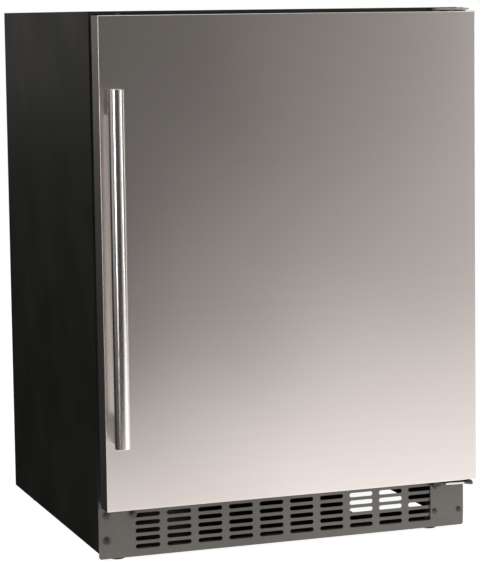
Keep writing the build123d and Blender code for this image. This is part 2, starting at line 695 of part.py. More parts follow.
def drip_tray():
    """The tray on top of the compressor where drained water evaporates."""
    x0, x1 = COMPRESSOR_X - 66, COMPRESSOR_X + 66
    y0, y1 = COMPRESSOR_Y - 56, COMPRESSOR_Y + 56
    tray = block(x0, x1, y0, y1, COMPRESSOR_TOP, COMPRESSOR_TOP + 28)
    tray = fillet(tray.edges().filter_by(Axis.Z), 10)
    hollow = block(x0 + 2, x1 - 2, y0 + 2, y1 - 2, COMPRESSOR_TOP + 2, COMPRESSOR_TOP + 40)
    return tray - fillet(hollow.edges().filter_by(Axis.Z), 8)


# Inside the food compartment ----------------------------------------------------------

def evaporator_coil():
    """The finned evaporator behind its cover."""
    coil = finned_coil(280, 7, 24, 2, 20, 4, 9)
    return Pos(0, FRONT + 435, 340) * coil


def evaporator_cover():
    """The moulded cover over the evaporator, with a slotted fan outlet and a return grille."""
    front = EVAPORATOR_COVER_FRONT
    bottom, top, half = 304, 742, 190
    cover = block(-half, half, front, LINER_REAR, bottom, top)
    cover = fillet(cover.edges().filter_by(Axis.Y), 14)
    cover = fillet(cover.edges().group_by(Axis.Y)[0], 3)
    cover -= block(-half + 2, half - 2, front + 2, LINER_REAR + 1, bottom + 12, top - 12)
    slot = Rot(90, 0, 0) * extrude(SlotOverall(40, 5), 4, both=True)
    for column in range(8):
        for row in range(2):
            cover -= Pos(-161 + 46 * column, front, 330 + 12 * row) * slot
    for row in range(-5, 6):
        width = 2 * math.sqrt(52 ** 2 - (9 * row) ** 2)
        outlet = Rot(90, 0, 0) * extrude(SlotOverall(width, 5), 4, both=True)
        cover -= Pos(0, front, AIR_FAN_Z + 9 * row) * outlet
    return cover


def evaporator_fan_motor():
    """The circulating fan's motor, on the compartment's rear wall."""
    stand = rod((0, LINER_REAR - 6, AIR_FAN_Z), (0, 1, 0), 26, 6)
    motor = Pos(0, LINER_REAR - 34, AIR_FAN_Z) * Rot(0, 0, 90) * fan_motor(20, 28)
    return motor + stand


def evaporator_fan_blade():
    """The circulating fan's wheel."""
    wheel_y = LINER_REAR - 34 - FAN_SHAFT
    return Pos(0, wheel_y + 4, AIR_FAN_Z) * Rot(0, 0, 90) * fan_blade(46, 14, 11, 5)


def control_housing():
    """The thermostat's housing under the ceiling, hollow, with a window and button holes."""
    front, rear, half = CONTROL_FRONT, CONTROL_REAR, CONTROL_HALF
    housing = block(-half, half, front, rear, CONTROL_BOTTOM, MOUTH_TOP)
    housing = fillet(housing.edges().filter_by(Axis.Z), 8)
    housing = fillet(housing.edges().group_by(Axis.Z)[0], 3)
    housing -= block(-half + 9, half - 9, front + CONTROL_WALL, rear - 9,
                     CONTROL_BOTTOM + CONTROL_WALL, MOUTH_TOP + 1)
    housing -= block(WINDOW_LEFT, WINDOW_RIGHT, front - 1, front + 3, BUTTON_Z - 9, BUTTON_Z + 9)
    for x in BUTTON_PLACES.values():
        housing -= rod((x, front - 1, BUTTON_Z), (0, 1, 0), BUTTON_RADIUS + 0.3, 4)
    return housing


def control_display():
    """The dark display window in the thermostat's housing."""
    wall_inside = CONTROL_FRONT + CONTROL_WALL
    window = block(WINDOW_LEFT, WINDOW_RIGHT, CONTROL_FRONT - 0.5, wall_inside,
                   BUTTON_Z - 9, BUTTON_Z + 9)
    return window + block(WINDOW_LEFT - 4, WINDOW_RIGHT + 4, wall_inside, wall_inside + 6.5,
                          BUTTON_Z - 12, BUTTON_Z + 12)


def button(x):
    """One push button with a collar behind the housing's face."""
    cap = rod((x, CONTROL_FRONT - 2, BUTTON_Z), (0, 1, 0), BUTTON_RADIUS, 5)
    cap = fillet(cap.edges().filter_by(GeomType.CIRCLE).group_by(Axis.Y)[0], 1)
    return cap + rod((x, CONTROL_FRONT + 2.9, BUTTON_Z), (0, 1, 0), BUTTON_RADIUS + 2, 1.6)


def light_lens():
    """The interior lamp's frosted lens under the ceiling."""
    lens = block(130, 210, FRONT + 120, FRONT + 170, MOUTH_TOP - 12, MOUTH_TOP)
    lens = fillet(lens.edges().filter_by(Axis.Z), 10)
    return fillet(lens.edges().group_by(Axis.Z)[0], 4)


def shelf_glass(level):
    """One glass shelf, lying on the liner's ledges."""
    half = MOUTH_SIDE - 3
    return block(-half, half, SHELF_FRONT, SHELF_REAR, level, level + 4)


def shelf_levels_in_use():
    """The ledges that hold a shelf: every second one."""
    return SHELF_LEVELS[::2]


def glass_shelves():
    """The three glass shelves."""
    return [shelf_glass(level) for level in shelf_levels_in_use()]


def shelf_trims():
    """The moulded trim along each shelf's front and rear edge."""
    half = MOUTH_SIDE - 9
    trims = []
    for level in shelf_levels_in_use():
        front = block(-half, half, SHELF_FRONT - 8, SHELF_FRONT + 8, level - 4, level + 7)
        front = fillet(front.edges().filter_by(Axis.X).group_by(Axis.Y)[0], 3)
        rear = block(-half, half, SHELF_REAR - 8, SHELF_REAR + 4, level, level + 20)
        rear = fillet(rear.edges().filter_by(Axis.X).group_by(Axis.Z)[-1], 2)
        rear -= block(-half, half, SHELF_REAR - 9, SHELF_REAR, level + 6, level + 21)
        trims += [front - shelf_glass(level), rear - shelf_glass(level)]
    return trims


def crisper_drawer():
    """The open-topped drawer on the compartment's floor, with a pull along its front."""
    half, bottom, wall = 236, MOUTH_BOTTOM, CRISPER_WALL
    front, rear = FRONT + 108, FRONT + 288
    drawer = block(-half, half, front, rear, bottom, CRISPER_TOP)
    drawer -= block(-half + wall, half - wall, front + wall, rear - wall,
                    bottom + wall, CRISPER_TOP + 1)
    pull = block(-90, 90, front - 12, front, CRISPER_TOP - 12, CRISPER_TOP)
    return drawer + fillet(pull.edges().filter_by(Axis.X).group_by(Axis.Y)[0], 4)


# Door ---------------------------------------------------------------------------------

def handle_screw_heights():
    """Heights of the handle's screws, two in each post."""
    offsets = (-POST_SCREW_OFFSET, POST_SCREW_OFFSET)
    return [middle + offset for middle in POST_MIDDLES for offset in offsets]


def door_skin():
    """The brushed steel door front, folded back at all four sides, with softened edges."""
    skin = block(-SIDE, SIDE, DOOR_FACE, DOOR_BACK, DOOR_BOTTOM, DOOR_TOP)
    front_edges = skin.edges().group_by(Axis.Y)[0]
    skin = fillet(front_edges, 1.6)
    skin -= block(-SIDE + SHEET, SIDE - SHEET, DOOR_FACE + SHEET, DOOR_BACK + 1,
                  DOOR_BOTTOM + SHEET, DOOR_TOP - SHEET)
    skin -= rod((PIVOT_X, PIVOT_Y, DOOR_BOTTOM - 1), (0, 0, 1), 6, 3)
    skin -= rod((PIVOT_X, PIVOT_Y, DOOR_TOP - 2), (0, 0, 1), 6, 3)
    for z in handle_screw_heights():
        skin -= rod((BAR_X, DOOR_FACE - 1, z), (0, 1, 0), LARGE_HOLE, 3)
    return skin


def dyke(inset, y0, y1):
    """The ridge ring of the inner panel, made smaller on all sides by an inset."""
    width = DYKE_OUT - DYKE_IN
    return ring(DYKE_OUT - inset, DYKE_IN + inset,
                (DYKE_BOTTOM + inset, DYKE_TOP - inset),
                (DYKE_BOTTOM + width - inset, DYKE_TOP - width + inset), y0, y1)


def door_inner_panel():
    """The door's white inner panel: a sheet with a hollow ridge and lugs under the bins."""
    wall = LINER_WALL
    panel = block(-SIDE + PANEL_INSET, SIDE - PANEL_INSET, DOOR_BACK, PANEL_BACK,
                  DOOR_BOTTOM + PANEL_INSET, DOOR_TOP - PANEL_INSET)
    panel += dyke(0, PANEL_BACK, FRONT + DYKE_REACH)
    panel -= dyke(wall, DOOR_BACK - 1, FRONT + DYKE_REACH - wall)
    for floor in BIN_FLOORS:
        for sign in (-1, 1):
            panel += block(sign * DYKE_IN, sign * (DYKE_IN - LUG_WIDTH), PANEL_BACK, FRONT + 10,
                           floor - 9, floor)
    return panel


def door_foam():
    """The foam inside the door, cut round the hinge bushes and the handle's screws."""
    foam = block(-SIDE + SHEET, SIDE - SHEET, DOOR_FACE + SHEET, DOOR_BACK,
                 DOOR_BOTTOM + SHEET, DOOR_TOP - SHEET)
    foam += dyke(LINER_WALL, DOOR_BACK, FRONT + DYKE_REACH - LINER_WALL)
    foam -= rod((PIVOT_X, PIVOT_Y, DOOR_BOTTOM), (0, 0, 1), 6, 20)
    foam -= rod((PIVOT_X, PIVOT_Y, DOOR_TOP), (0, 0, -1), 6, 20)
    for z in handle_screw_heights():
        foam -= rod((BAR_X, DOOR_FACE + SHEET, z), (0, 1, 0), 5, 3)
    return foam


def door_gasket():
    """The soft magnetic seal: a base, a folded bellows and a magnet face."""
    width = GASKET_OUT - GASKET_IN
    magnet_face = FRONT - GASKET_GAP
    layers = [(0, PANEL_BACK, PANEL_BACK + 4), (3, PANEL_BACK + 4, PANEL_BACK + 6),
              (1.5, PANEL_BACK + 6, PANEL_BACK + 8), (4, PANEL_BACK + 8, PANEL_BACK + 9.5),
              (2, PANEL_BACK + 9.5, magnet_face)]
    gasket = None
    for inset, y0, y1 in layers:
        layer = ring(GASKET_OUT - inset, GASKET_IN + inset,
                     (GASKET_BOTTOM + inset, GASKET_TOP - inset),
                     (GASKET_BOTTOM + width - inset, GASKET_TOP - width + inset), y0, y1)
        gasket = layer if gasket is None else gasket + layer
    return gasket


def door_bins():
    """Three open bins on the inner panel, with low backs."""
    half, wall = DYKE_IN - 2, BIN_WALL
    bins = []
    for floor in BIN_FLOORS:
        top = floor + BIN_HEIGHT
        tray = block(-half, half, PANEL_BACK, BIN_FRONT, floor, top)
        tray -= block(-half + wall, half - wall, PANEL_BACK + wall, BIN_FRONT - wall,
                      floor + wall, top + 1)
        tray -= block(-half + wall, half - wall, PANEL_BACK - 1, PANEL_BACK + wall + 1,
                      floor + 35, top + 1)
        bins.append(tray)
    return bins


def handle_bar():
    """The straight tubular bar handle, closed at both ends."""
    bar = rod((BAR_X, BAR_Y, BAR_BOTTOM), (0, 0, 1), BAR_RADIUS, BAR_TOP - BAR_BOTTOM)
    return fillet(bar.edges().filter_by(GeomType.CIRCLE), 1)


def handle_posts():
    """The two flat posts that carry the bar, hollowed to its curve and drilled for screws."""
    posts = []
    bar = rod((BAR_X, BAR_Y, BAR_BOTTOM), (0, 0, 1), BAR_RADIUS, BAR_TOP - BAR_BOTTOM)
    for middle in POST_MIDDLES:
        post = block(BAR_X - POST_HALF_WIDTH, BAR_X + POST_HALF_WIDTH, BAR_Y, DOOR_FACE,
                     middle - POST_HEIGHT / 2, middle + POST_HEIGHT / 2)
        post = fillet(post.edges().filter_by(Axis.Y), 1.5)
        post -= bar
        for side in (-POST_SCREW_OFFSET, POST_SCREW_OFFSET):
            post -= rod((BAR_X, DOOR_FACE, middle + side), (0, -1, 0), 2.5, 18)
        posts.append(post)
    return posts


def handle_screws():
    """Screws from inside the door's skin into the handle's posts."""
    return [pan_head_screw((BAR_X, DOOR_FACE + SHEET, z), (0, 1, 0), 4.5, 2.4, 16)
            for z in handle_screw_heights()]


def levelling_foot(x, y):
    """A screw-in foot: a rubber-soled disc, a hexagonal collar and a threaded stud."""
    disc = Pos(x, y, 4.5) * Cylinder(FOOT_RADIUS, 9)
    disc = fillet(disc.edges().filter_by(GeomType.CIRCLE).group_by(Axis.Z)[0], 2)
    collar = extrude(Plane((x, y, 9)) * RegularPolygon(8, 6), 4)
    return disc + collar + rod((x, y, 13), (0, 0, 1), 3.95, 32)


# Writing ------------------------------------------------------------------------------

def write(name, shape):
    """Write one sub-part; a list of pieces becomes a group of separate solids."""
    if isinstance(shape, list):
        shape = Compound(children=[Compound(piece.solids()) for piece in shape])
    export_step(shape, f"parts/{name}.step")


def main():
    """Make every sub-part and write it under its own name."""
    os.makedirs("parts", exist_ok=True)
    makers = [
        top_panel, back_panel, front_frame, inner_liner, insulation_foam, bay_panel, base_pan,
        air_divider, toe_kick_grille, toe_kick_screws, bay_cover, cord_gland, case_screws,
        hinge_bracket_lower, hinge_bracket_upper, hinge_screws, hinge_pins, hinge_bushes,
        door_stop, hole_plug, compressor_shell, compressor_motor, compressor_mounts,
        compressor_bolts, relay_box, condenser_coil, fan_shroud, condenser_fan_motor,
        condenser_fan_blade, filter_drier, refrigerant_tubes, drain_tube, drip_tray,
        evaporator_coil, evaporator_cover, evaporator_fan_motor, evaporator_fan_blade,
        control_housing, control_display, light_lens, glass_shelves, shelf_trims,
        crisper_drawer, door_skin, door_inner_panel, door_foam, door_gasket, door_bins,
        handle_bar, handle_posts, handle_screws,
    ]
    for maker in makers:
        write(maker.__name__, maker())
    write("side_panel_left", side_panel(-1))
    write("side_panel_right", side_panel(1))
    for name, x in BUTTON_PLACES.items():
        write("button_" + name, button(x))
    for name, (x, y) in FOOT_PLACES.items():
        write("foot_" + name, levelling_foot(x, y))


main()
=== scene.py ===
import json
import math

import bmesh
import bpy
from mathutils import Matrix, Quaternion, Vector


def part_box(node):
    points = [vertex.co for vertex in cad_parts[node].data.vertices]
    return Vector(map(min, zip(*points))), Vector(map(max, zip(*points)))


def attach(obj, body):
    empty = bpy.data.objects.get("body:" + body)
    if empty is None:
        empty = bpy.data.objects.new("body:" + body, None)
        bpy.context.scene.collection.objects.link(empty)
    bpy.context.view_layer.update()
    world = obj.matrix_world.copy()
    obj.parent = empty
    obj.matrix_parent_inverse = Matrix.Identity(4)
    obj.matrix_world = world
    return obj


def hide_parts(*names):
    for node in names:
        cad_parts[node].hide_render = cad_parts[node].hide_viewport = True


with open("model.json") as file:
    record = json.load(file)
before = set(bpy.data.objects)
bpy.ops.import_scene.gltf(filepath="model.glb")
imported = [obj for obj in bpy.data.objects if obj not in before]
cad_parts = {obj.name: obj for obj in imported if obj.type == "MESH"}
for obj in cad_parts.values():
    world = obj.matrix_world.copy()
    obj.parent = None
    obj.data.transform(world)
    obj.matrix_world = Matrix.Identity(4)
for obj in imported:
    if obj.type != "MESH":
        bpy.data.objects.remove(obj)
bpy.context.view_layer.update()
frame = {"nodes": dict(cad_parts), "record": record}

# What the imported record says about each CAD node
RECORD = frame["record"]
SLOT_OF = {part["node"]: part["material_slot"] for part in RECORD["subparts"]}
BODY_OF = {node: body for body, nodes in RECORD["behaviour"]["bodies"].items() for node in nodes}

MM = 0.001
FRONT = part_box("front_frame")[0].y          # the case's front plane
MOUTH_SIDE = -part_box("glass_shelves")[0].x + 3 * MM
SHARP_ANGLE = math.radians(34)


# Camera -------------------------------------------------------------------------------

def add_camera():
    """A long lens at the height of the top, to the left of the front."""
    yaw = math.radians(19.81)
    pitch = math.radians(5.89)
    roll = math.radians(-0.73)
    data = bpy.data.cameras.new("camera")
    data.lens = 139.2
    data.sensor_width = 36
    data.shift_x = -0.0352
    data.shift_y = -0.0775
    camera = bpy.data.objects.new("camera", data)
    aim = Vector((math.sin(yaw) * math.cos(pitch), math.cos(yaw) * math.cos(pitch), -math.sin(pitch)))
    camera.location = (-1.152, -3.306, 0.812)
    camera.rotation_mode = "QUATERNION"
    camera.rotation_quaternion = aim.to_track_quat("-Z", "Y") @ Quaternion((0, 0, 1), roll)
    bpy.context.scene.collection.objects.link(camera)
    bpy.context.scene.camera = camera


# Studio -------------------------------------------------------------------------------

WARM = (1, 0.962, 0.95)


def add_world():
    """White behind the object, and a dim warm room in its reflections."""
    world = bpy.data.worlds.new("studio")
    bpy.context.scene.world = world
    world.use_nodes = True
    nodes = world.node_tree.nodes
    links = world.node_tree.links
    nodes.clear()
    output = nodes.new("ShaderNodeOutputWorld")
    mix = nodes.new("ShaderNodeMixShader")
    path = nodes.new("ShaderNodeLightPath")
    white = nodes.new("ShaderNodeBackground")
    white.inputs["Color"].default_value = (1, 1, 1, 1)
    room = nodes.new("ShaderNodeBackground")
    place = nodes.new("ShaderNodeTexCoord")
    split = nodes.new("ShaderNodeSeparateXYZ")
    ramp = nodes.new("ShaderNodeValToRGB")
    ramp.color_ramp.elements[0].position = 0.46
    ramp.color_ramp.elements[0].color = (0.015, 0.015, 0.014, 1)
    ramp.color_ramp.elements[1].position = 0.56
    ramp.color_ramp.elements[1].color = (0.215, 0.204, 0.188, 1)
    shifted = nodes.new("ShaderNodeMapRange")
    shifted.inputs["From Min"].default_value = -1
    links.new(place.outputs["Generated"], split.inputs[0])
    links.new(split.outputs["Z"], shifted.inputs["Value"])
    links.new(shifted.outputs["Result"], ramp.inputs["Fac"])
    links.new(ramp.outputs["Color"], room.inputs["Color"])
    links.new(path.outputs["Is Camera Ray"], mix.inputs["Fac"])
    links.new(room.outputs[0], mix.inputs[1])
    links.new(white.outputs[0], mix.inputs[2])
    links.new(mix.outputs[0], output.inputs["Surface"])


def add_floor():
    """A plain pale floor, bright enough to look white, that takes a faint shadow."""
    size = 30
    mesh = bpy.data.meshes.new("floor")
    corners = [(-size, -size, 0), (size, -size, 0), (size, size, 0), (-size, size, 0)]
    mesh.from_pydata(corners, [], [(0, 1, 2, 3)])
    floor = bpy.data.objects.new("floor", mesh)
    material = bpy.data.materials.new("pale_floor")
    material.use_nodes = True
    shader = material.node_tree.nodes["Principled BSDF"]
    shader.inputs["Base Color"].default_value = (0.3, 0.3, 0.3, 1)
    shader.inputs["Roughness"].default_value = 0.9
    shader.inputs["Specular IOR Level"].default_value = 0
    shader.inputs["Emission Color"].default_value = (1, 1, 1, 1)
    shader.inputs["Emission Strength"].default_value = 0.95
    mesh.materials.append(material)
    floor.visible_glossy = False
    floor.visible_diffuse = False
    bpy.context.scene.collection.objects.link(floor)


def soft_light(name, place, target, size, radiance, tint=(1, 1, 1)):
    """A rectangular soft light of an even brightness, facing a point."""
    data = bpy.data.lights.new(name, "AREA")
    data.shape = "RECTANGLE"
    data.size, data.size_y = size
    data.energy = radiance * math.pi * size[0] * size[1]
    data.color = tint
    light = bpy.data.objects.new(name, data)
    aim = Vector(target) - Vector(place)
    light.location = place
    light.rotation_mode = "QUATERNION"
    light.rotation_quaternion = aim.to_track_quat("-Z", "Y")
    light.visible_camera = False
    bpy.context.scene.collection.objects.link(light)


def around(azimuth, distance, height):
    """A place at an azimuth from the front, positive to the right."""
    angle = math.radians(azimuth)
    return (distance * math.sin(angle), -distance * math.cos(angle), height)


def add_lights():
    """Two softboxes at the sides, faint fills all round, a top light, and strips on the floor."""
    middle = (0, 0, 0.4)
    soft_light("left_softbox", around(-50, 3.2, 1.1), middle, (0.62, 1.9), 7.5)
    soft_light("right_softbox", around(54, 3.0, 1.0), middle, (0.46, 1.9), 6.2)
    soft_light("right_fill", around(37, 3.6, 1.0), middle, (1.0, 2.0), 0.95, WARM)
    soft_light("front_fill", around(25, 3.7, 0.4), middle, (0.9, 0.8), 0.4, WARM)
    soft_light("left_fill", around(-92, 3.2, 1.0), middle, (2.4, 2.0), 0.42, WARM)
    soft_light("rear_left_fill", around(-152, 3.4, 1.3), middle, (2.6, 1.6), 0.1, WARM)
    soft_light("rear_right_fill", around(140, 3.4, 1.3), middle, (2.6, 1.6), 0.55, WARM)
    soft_light("top_softbox", (0, -0.2, 3.0), (0, 0, 0), (2.2, 1.8), 1.6)
    near = 0.2
    strip_height = 0.004
    strips = [("left_bounce", -0.5, 0.05, 1.02, 1.5), ("middle_bounce", 0.05, 0.45, 1.3, 1.75),
              ("right_bounce", 0.45, 2.1, 1.6, 1.65)]
    for name, left, right, far, radiance in strips:
        place = ((left + right) / 2, -(near + far) / 2, strip_height)
        above = (place[0], place[1], 1)
        soft_light(name, place, above, (right - left, far - near), radiance, WARM)


# Materials ----------------------------------------------------------------------------

def new_material(name, constants):
    """A material whose principled shader has these constant inputs."""
    material = bpy.data.materials.new(name)
    material.use_nodes = True
    shader = material.node_tree.nodes["Principled BSDF"]
    for socket, value in constants.items():
        shader.inputs[socket].default_value = value
    return material


def noise(material, scale, stretch=(1, 1, 1), detail=3.0):
    """A noise in the object's own metres; scale is its waves per metre."""
    nodes = material.node_tree.nodes
    links = material.node_tree.links
    place = nodes.new("ShaderNodeTexCoord")
    mapping = nodes.new("ShaderNodeMapping")
    mapping.inputs["Scale"].default_value = [scale * factor for factor in stretch]
    texture = nodes.new("ShaderNodeTexNoise")
    texture.inputs["Scale"].default_value = 1
    texture.inputs["Detail"].default_value = detail
    links.new(place.outputs["Object"], mapping.inputs["Vector"])
    links.new(mapping.outputs["Vector"], texture.inputs["Vector"])
    return texture.outputs["Fac"]


def shade_colour(material, factor, dark, light):
    """Base colour that wanders between two colours with a noise."""
    mix = material.node_tree.nodes.new("ShaderNodeMix")
    mix.data_type = "RGBA"
    mix.inputs["A"].default_value = (*dark, 1)
    mix.inputs["B"].default_value = (*light, 1)
    colour_factor = spread(material, factor, 0, 1)
    material.node_tree.links.new(colour_factor, mix.inputs["Factor"])
    shader = material.node_tree.nodes["Principled BSDF"]
    material.node_tree.links.new(mix.outputs["Result"], shader.inputs["Base Color"])


def spread(material, factor, low, high):
    """A noise's middle range stretched to run from low to high."""
    stretch = material.node_tree.nodes.new("ShaderNodeMapRange")
    stretch.clamp = False
    stretch.inputs["From Min"].default_value = 0.32
    stretch.inputs["From Max"].default_value = 0.68
    stretch.inputs["To Min"].default_value = low
    stretch.inputs["To Max"].default_value = high
    material.node_tree.links.new(factor, stretch.inputs["Value"])
    return stretch.outputs["Result"]


def shade_roughness(material, factor, low, high):
    """Roughness that wanders between two values with a noise."""
    shader = material.node_tree.nodes["Principled BSDF"]
    material.node_tree.links.new(spread(material, factor, low, high), shader.inputs["Roughness"])


def add_bump(material, factor, depth, strength=1.0):
    """Fine relief, its depth in metres."""
    bump = material.node_tree.nodes.new("ShaderNodeBump")
    bump.inputs["Distance"].default_value = depth
    bump.inputs["Strength"].default_value = strength
    material.node_tree.links.new(factor, bump.inputs["Height"])
    shader = material.node_tree.nodes["Principled BSDF"]
    material.node_tree.links.new(bump.outputs["Normal"], shader.inputs["Normal"])


def tinted(colour, factor):
    """A colour made lighter or darker."""
    return tuple(min(1.0, channel * factor) for channel in colour)


def painted_steel(name, colour, roughness, gloss=0.5):
    """Powder coat: a faint orange peel, and slow changes of sheen from handling."""
    material = new_material(name, {"Specular IOR Level": gloss})
    peel = noise(material, 700, detail=4)
    handling = noise(material, 9, detail=5)
    shade_colour(material, handling, tinted(colour, 0.86), tinted(colour, 1.16))
    shade_roughness(material, handling, roughness - 0.05, roughness + 0.06)
    add_bump(material, peel, 0.00006, 0.6)
    return material


def brushed_steel(name, colour, roughness, along=(6, 6, 1600), anisotropy=0.75):
    """Stainless steel brushed round the upright axis, with fine lines of uneven depth."""
    material = new_material(name, {"Metallic": 1, "Anisotropic": anisotropy,
                                   "Anisotropic Rotation": 0.25})
    nodes = material.node_tree.nodes
    tangent = nodes.new("ShaderNodeTangent")
    tangent.direction_type = "RADIAL"
    tangent.axis = "Z"
    material.node_tree.links.new(tangent.outputs[0], nodes["Principled BSDF"].inputs["Tangent"])
    lines = noise(material, 1, stretch=along, detail=5)
    handling = noise(material, 4, detail=0.5)
    shade_colour(material, lines, tinted(colour, 0.98), tinted(colour, 1.02))
    shade_roughness(material, handling, roughness - 0.012, roughness + 0.012)
    add_bump(material, lines, 0.00001, 0.35)
    return material


def bare_metal(name, colour, roughness, grain, depth):
    """Plain metal with rolled or cast grain and light staining."""
    material = new_material(name, {"Metallic": 1})
    grains = noise(material, grain, detail=5)
    stains = noise(material, 25, detail=6)
    shade_colour(material, stains, tinted(colour, 0.72), tinted(colour, 1.12))
    shade_roughness(material, grains, roughness - 0.08, roughness + 0.12)
    add_bump(material, grains, depth, 0.7)
    return material


def galvanised_steel(name, colour):
    """Zinc-coated sheet: crystal patches that differ in tone and gloss."""
    material = new_material(name, {"Metallic": 1})
    nodes = material.node_tree.nodes
    links = material.node_tree.links
    place = nodes.new("ShaderNodeTexCoord")
    cells = nodes.new("ShaderNodeTexVoronoi")
    cells.inputs["Scale"].default_value = 110
    links.new(place.outputs["Object"], cells.inputs["Vector"])
    split = nodes.new("ShaderNodeSeparateColor")
    links.new(cells.outputs["Color"], split.inputs["Color"])
    shade_colour(material, split.outputs["Red"], tinted(colour, 0.78), tinted(colour, 1.1))
    shade_roughness(material, split.outputs["Green"], 0.34, 0.48)
    add_bump(material, cells.outputs["Distance"], 0.00003, 0.4)
    return material


def moulded_plastic(name, colour, roughness, texture=1400, depth=0.00003):
    """Moulded plastic with a fine spark-eroded grain and a slight flow variation."""
    material = new_material(name, {"Specular IOR Level": 0.5})
    grain = noise(material, texture, detail=3)
    flow = noise(material, 12, detail=3)
    shade_colour(material, flow, tinted(colour, 0.95), tinted(colour, 1.04))
    shade_roughness(material, grain, roughness - 0.05, roughness + 0.07)
    add_bump(material, grain, depth, 0.6)
    return material


def rubber(name, colour):
    """Matt rubber with a dusty bloom."""
    material = new_material(name, {"Specular IOR Level": 0.35, "Sheen Weight": 0.12})
    bloom = noise(material, 60, detail=6)
    grain = noise(material, 900, detail=3)
    shade_colour(material, bloom, colour, tinted(colour, 1.9))
    shade_roughness(material, bloom, 0.62, 0.82)
    add_bump(material, grain, 0.00005, 0.7)
    return material


def clear_material(name, colour, index, roughness):
    """Glass or clear plastic: smooth, with faint smears that blur what is behind."""
    material = new_material(name, {"Transmission Weight": 1, "IOR": index})
    smears = noise(material, 14, stretch=(1, 1, 2.5), detail=5)
    waves = noise(material, 30, detail=2)
    shade_colour(material, smears, tinted(colour, 0.97), colour)
    shade_roughness(material, smears, roughness, roughness + 0.05)
    add_bump(material, waves, 0.00004, 0.3)
    return material


def foam_material(name, colour):
    """Blown polyurethane: a cellular, uneven surface."""
    material = new_material(name, {"Specular IOR Level": 0.2})
    cells = noise(material, 420, detail=6)
    clouds = noise(material, 20, detail=4)
    shade_colour(material, clouds, tinted(colour, 0.82), tinted(colour, 1.08))
    shade_roughness(material, cells, 0.8, 0.95)
    add_bump(material, cells, 0.0006, 0.9)
    return material


def make_materials():
    """One finish for each of the record's material slots."""
    return {
        "black_sheet": painted_steel("black_sheet", (0.013, 0.0138, 0.0125), 0.36),
        "kick_grey": painted_steel("kick_grey", (0.075, 0.071, 0.062), 0.42, 0.6),
        "galvanised": galvanised_steel("galvanised", (0.56, 0.58, 0.6)),
        "brushed_door": brushed_steel("brushed_door", (0.63, 0.595, 0.575), 0.3),
        "brushed_bar": brushed_steel("brushed_bar", (0.74, 0.705, 0.68), 0.25, anisotropy=0.15),
        "hinge_steel": brushed_steel("hinge_steel", (0.66, 0.64, 0.62), 0.33, (1200, 9, 9)),
        "screw_steel": bare_metal("screw_steel", (0.07, 0.068, 0.064), 0.37, 600, 0.00002),
        "black_screw": painted_steel("black_screw", (0.03, 0.03, 0.029), 0.4),
        "seal_rubber": rubber("seal_rubber", (0.016, 0.016, 0.016)),
        "foot_rubber": rubber("foot_rubber", (0.014, 0.014, 0.014)),
        "white_liner": moulded_plastic("white_liner", (0.78, 0.79, 0.785), 0.34),
        "white_trim": moulded_plastic("white_trim", (0.72, 0.735, 0.74), 0.42),
        "clear_bin": clear_material("clear_bin", (0.93, 0.965, 0.98), 1.49, 0.05),
        "shelf_glass": clear_material("shelf_glass", (0.86, 0.965, 0.935), 1.52, 0.0),
        "foam": foam_material("foam", (0.80, 0.66, 0.34)),
        "black_plastic": moulded_plastic("black_plastic", (0.018, 0.018, 0.018), 0.5),
        "compressor_black": painted_steel("compressor_black", (0.012, 0.012, 0.013), 0.36),
        "motor_steel": bare_metal("motor_steel", (0.2, 0.2, 0.2), 0.5, 350, 0.0002),
        "copper": bare_metal("copper", (0.80, 0.42, 0.26), 0.4, 500, 0.00003),
        "fin_aluminium": bare_metal("fin_aluminium", (0.76, 0.77, 0.78), 0.4, 800, 0.00002),
        "display_black": moulded_plastic("display_black", (0.008, 0.009, 0.011), 0.12, 40),
        "button_grey": moulded_plastic("button_grey", (0.33, 0.35, 0.36), 0.4),
        "lens_white": moulded_plastic("lens_white", (0.88, 0.88, 0.85), 0.45, 700, 0.0001),
        "fan_plastic": moulded_plastic("fan_plastic", (0.08, 0.08, 0.08), 0.38),
    }


# Mesh helpers -------------------------------------------------------------------------

def add_piece(name, shape, node, materials, others=()):
    """Turns a bmesh into a piece that stands for a CAD node, on its body and in its finish.

    Others is a list of further finishes, each with a test that picks the faces it covers."""
    mesh = bpy.data.meshes.new(name)
    bmesh.ops.recalc_face_normals(shape, faces=shape.faces)
    for face in shape.faces:
        face.smooth = True
        for index, (finish, covers) in enumerate(others):
            if covers(face):
                face.material_index = index + 1
    shape.to_mesh(mesh)
    shape.free()
    mesh.set_sharp_from_angle(angle=SHARP_ANGLE)
    mesh.materials.append(materials[SLOT_OF[node]])
    for finish, covers in others:
        mesh.materials.append(materials[finish])
    piece = bpy.data.objects.new(name, mesh)
    bpy.context.scene.collection.objects.link(piece)
    flatten = piece.modifiers.new("flat_faces", "WEIGHTED_NORMAL")
    flatten.keep_sharp = True
    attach(piece, BODY_OF[node])
    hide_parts(node)
    return piece


def copied(node):
    """The CAD node's shape as a welded bmesh, with its flat faces merged."""
    shape = bmesh.new()
    shape.from_mesh(frame["nodes"][node].data)
    bmesh.ops.remove_doubles(shape, verts=shape.verts, dist=0.000002)
    bmesh.ops.dissolve_limit(shape, angle_limit=math.radians(0.6), verts=shape.verts,
                             edges=shape.edges)
    return shape


def soften(shape, width, segments=2):
    """Rounds every sharp edge of a bmesh."""
    sharp = [edge for edge in shape.edges
             if len(edge.link_faces) == 2 and edge.calc_face_angle(0) > math.radians(38)]
    bmesh.ops.bevel(shape, geom=sharp, offset=width, offset_type="OFFSET", segments=segments,
                    profile=0.5, affect="EDGES", clamp_overlap=True)


def add_softened(node, width, materials, segments=2):
    """A CAD node's shape with its sharp edges rounded, as folded or moulded edges are."""
    shape = copied(node)
    soften(shape, width, segments)
    add_piece(node + "_edged", shape, node, materials)


